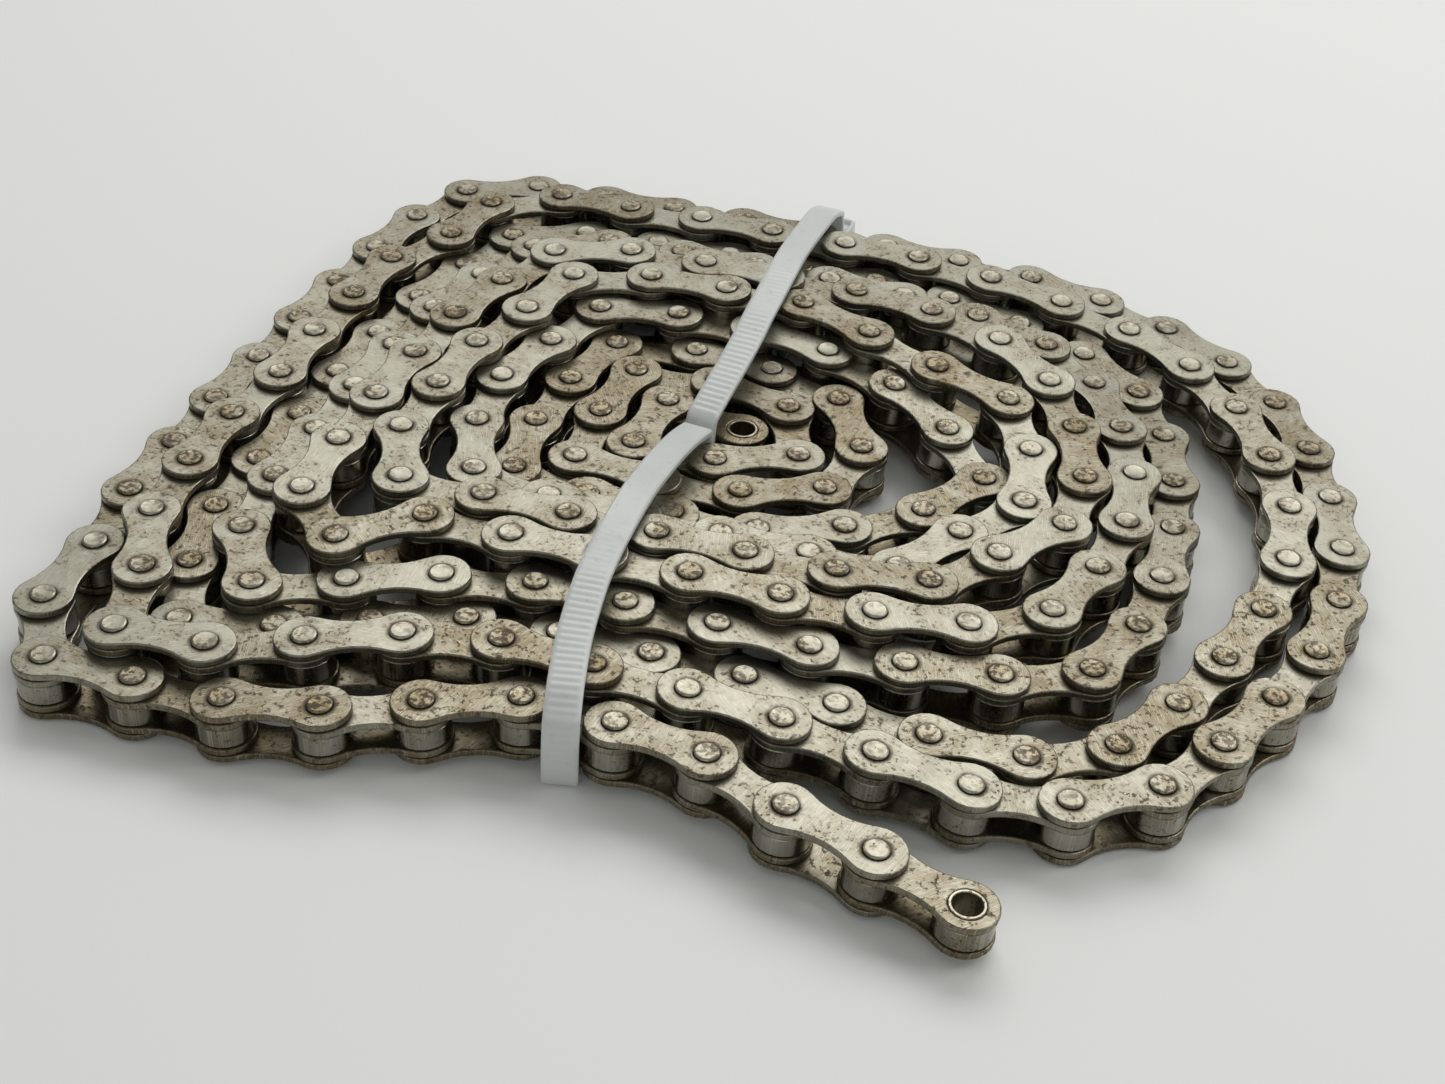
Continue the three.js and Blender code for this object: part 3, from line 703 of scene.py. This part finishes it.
def strap_loop(line, ribbed_from, ribbed_to):
    """The strap's middle line as a closed loop: place, side direction and how ribbed it is."""
    plan = smooth_route(line, PLAN_STEPS) + shift[:2]
    heading = np.gradient(plan, axis=0)
    heading /= np.linalg.norm(heading, axis=1)[:, None]
    side = np.stack([-heading[:, 1], heading[:, 0]], 1)
    top = taut_top(plan) + STRAP / 2
    plan[0] -= heading[0] * STRAP / 2
    plan[-1] += heading[-1] * STRAP / 2
    t = np.linspace(0, 1, len(plan))
    ribs = ((t >= ribbed_from) & (t <= ribbed_to)).astype(float)
    upper = np.column_stack([plan, top, side, ribs])
    lower = np.column_stack([plan, np.full(len(plan), STRAP / 2), side, ribs * 0])[::-1]
    return round_corners(np.vstack([upper, lower]), CORNER_ROUNDS)


def resample(loop, step):
    """The closed loop with its points evenly spaced, about a step apart."""
    closed = np.vstack([loop, loop[:1]])
    reach = np.concatenate([[0], np.cumsum(np.linalg.norm(np.diff(closed[:, :3], axis=0), axis=1))])
    count = int(reach[-1] / step)
    wanted = np.arange(count) * reach[-1] / count
    return np.column_stack([np.interp(wanted, reach, closed[:, i]) for i in range(closed.shape[1])])


RIB_STEP = 1.15
RIB_HIGH = 0.16
RIB_PROFILE = (0, 0.8, 1, 0.2)     # a rib's height at the stops along one step of it
EDGE_ROUND = 0.2                   # on the strap's smooth inner face
RAIL = 0.8                         # width of the smooth band on each side of the ribs
RAIL_SLOPE = 0.3


def strap(bm, line, ribbed_from, ribbed_to):
    """Sweeps a cable tie's ribbed band round its loop, round the coil's rows."""
    loop = resample(strap_loop(line, ribbed_from, ribbed_to), RIB_STEP / len(RIB_PROFILE))
    edge = STRAP_WIDTH / 2
    inner = -STRAP / 2
    outer = STRAP / 2 - 0.1
    right_half = [(edge - EDGE_ROUND, inner), (edge, inner + EDGE_ROUND), (edge, outer - 0.2),
                  (edge - RAIL_SLOPE, outer), (edge - RAIL, outer)]
    left_half = [(-x, y) for x, y in reversed(right_half)]
    section = right_half + left_half
    ribbed = (4, 5)
    tangent = np.roll(loop[:, :3], -1, axis=0) - np.roll(loop[:, :3], 1, axis=0)

    def put(verts, i):
        side = Vector((*loop[i, 3:5], 0)).normalized()
        along = Vector(tangent[i]).normalized()
        out = side.cross(along).normalized()
        rib = loop[i, 5] * RIB_HIGH * RIB_PROFILE[i % len(RIB_PROFILE)]
        for n, (vert, (x, y)) in enumerate(zip(verts, section)):
            raised = rib if n in ribbed else 0
            vert.co = (Vector(loop[i, :3]) + side * x + out * -(y + raised)) * MM

    verts = [bm.verts.new() for _ in section]
    for a, b in zip(verts, verts[1:] + verts[:1]):
        bm.edges.new((a, b))
    first_edges = edges = bm.edges[:]
    put(verts, 0)
    for i in range(1, len(loop)):
        grown = bmesh.ops.extrude_edge_only(bm, edges=edges)["geom"]
        edges = [g for g in grown if isinstance(g, bmesh.types.BMEdge) and len(g.link_faces) == 1]
        verts = [g for g in grown if isinstance(g, bmesh.types.BMVert)]
        put(verts, i)
    bmesh.ops.bridge_loops(bm, edges=first_edges + edges)
    bmesh.ops.recalc_face_normals(bm, faces=bm.faces[:])


def tie_head(bm, place, long, wide, high):
    """The ratchet block of a tie: rounded, with a shallow pocket sunk into its top and its bottom."""
    block = bmesh.new()
    bmesh.ops.create_cube(block, size=1)
    bmesh.ops.scale(block, vec=(long * MM, wide * MM, high * MM), verts=block.verts[:])
    for face in [f for f in block.faces if abs(f.normal.z) > 0.9]:
        bmesh.ops.inset_individual(block, faces=[face], thickness=0.9 * MM)
        sunk = bmesh.ops.extrude_discrete_faces(block, faces=[face])["faces"]
        down = -0.8 * MM if sunk[0].normal.z > 0 else 0.8 * MM
        bmesh.ops.translate(block, vec=(0, 0, down), verts=sunk[0].verts[:])
    rims = [e for e in block.edges if len(e.link_faces) == 2]
    bmesh.ops.bevel(block, geom=rims, offset=0.35 * MM, segments=2, profile=0.5,
                    affect="EDGES", material=-1)
    stamp(bm, block, place, (0, 0))
    block.free()


def upright_place(line, z):
    """A frame at the outer end of a tie's plan line, with X away from the coil."""
    a, b = (Vector(p) for p in line[-2:])
    turn = Matrix.Rotation(math.atan2(b.y - a.y, b.x - a.x), 4, "Z")
    return Matrix.Translation(Vector((b.x + shift[0], b.y + shift[1], z)) * MM) @ turn


def front_tie():
    """The tie that crosses the nearer side; its head lies flat under the raised rows."""
    bm = bmesh.new()
    strap(bm, front_line, 0.5, 1.0)
    plan = smooth_route(front_line, PLAN_STEPS) + shift[:2]
    halfway = len(plan) // 2
    heading = plan[halfway + 1] - plan[halfway]
    turn = Matrix.Rotation(math.atan2(heading[1], heading[0]) + math.pi / 2, 4, "Z")
    head_height = 2.5
    place = Matrix.Translation(Vector((*plan[halfway], head_height)) * MM) @ turn
    tie_head(bm, place, long=7.4, wide=6.2, high=4.4)
    finish_piece("front_cable_tie_fine", bm, nylon, "coil", ["front_cable_tie"], TIE_SMOOTH)


def rear_tie():
    """The tie that crosses the farther side; its head stands behind the last row."""
    bm = bmesh.new()
    strap(bm, rear_line, 0.0, 0.55)
    head_thick = 4.8
    head_height = 4.4
    place = upright_place(rear_line, head_height) @ Matrix.Translation((head_thick / 2 * MM, 0, 0))
    tie_head(bm, place, long=head_thick, wide=7.2, high=6.2)
    finish_piece("rear_cable_tie_fine", bm, nylon, "coil", ["rear_cable_tie"], TIE_SMOOTH)


front_tie()
rear_tie()


# ---------------------------------------------------------------- floor, light and camera

def floor():
    """A pale matt table top."""
    bm = bmesh.new()
    bmesh.ops.create_grid(bm, x_segments=1, y_segments=1, size=3.0)
    mesh = bpy.data.meshes.new("floor")
    bm.to_mesh(mesh)
    bm.free()
    made, _, shader = material("pale_floor")
    shader.inputs["Base Color"].default_value = linear("#eaeae7")
    shader.inputs["Roughness"].default_value = 0.6
    mesh.materials.append(made)
    piece = bpy.data.objects.new("floor", mesh)
    bpy.context.scene.collection.objects.link(piece)


def softbox(name, place, size, power, target=(0, 0, 0.01)):
    """A rectangular lamp, in metres and watts, that faces the coil."""
    lamp = bpy.data.lights.new(name, "AREA")
    lamp.shape = "RECTANGLE"
    lamp.size, lamp.size_y = size
    lamp.energy = power
    holder = bpy.data.objects.new(name, lamp)
    holder.location = place
    holder.rotation_euler = (Vector(target) - Vector(place)).to_track_quat("-Z", "Y").to_euler()
    bpy.context.scene.collection.objects.link(holder)


def studio():
    """A large soft lamp above and behind, a weaker one at the right and a faint one in front."""
    world = bpy.data.worlds.new("studio")
    world.use_nodes = True
    world.node_tree.nodes["Background"].inputs[0].default_value = linear("#dfe1df")
    world.node_tree.nodes["Background"].inputs[1].default_value = 0.45
    bpy.context.scene.world = world
    softbox("key", (0.1, 0.75, 0.85), (1.1, 0.6), 6.6)
    softbox("fill", (0.7, 0.1, 0.7), (0.5, 0.5), 2.0)
    softbox("front", (-0.1, -0.8, 0.5), (0.8, 0.3), 0.8)


CAMERA_LENS = 54.14
CAMERA_ELEVATION = math.radians(37.5)
CAMERA_ROLL = math.radians(4.31)
CAMERA_DISTANCE = 306


def camera():
    """Looks along +Y and down at the height of the lowest rows' pin ends."""
    target = Vector((shift[0], shift[1], middle + pin_end + shift[2])) * MM
    back = Vector((0, -math.cos(CAMERA_ELEVATION), math.sin(CAMERA_ELEVATION)))
    right = Vector((1, 0, 0))
    up = back.cross(right)
    across = right * math.cos(CAMERA_ROLL) + up * math.sin(CAMERA_ROLL)
    upward = up * math.cos(CAMERA_ROLL) - right * math.sin(CAMERA_ROLL)
    data = bpy.data.cameras.new("camera")
    data.lens = CAMERA_LENS
    data.clip_start = 0.01
    holder = bpy.data.objects.new("camera", data)
    holder.matrix_world = Matrix.Translation(target + back * CAMERA_DISTANCE * MM) \
        @ Matrix((across, upward, back)).transposed().to_4x4()
    bpy.context.scene.collection.objects.link(holder)
    bpy.context.scene.camera = holder


floor()
studio()
camera()
bpy.context.scene.view_settings.view_transform = "Standard"
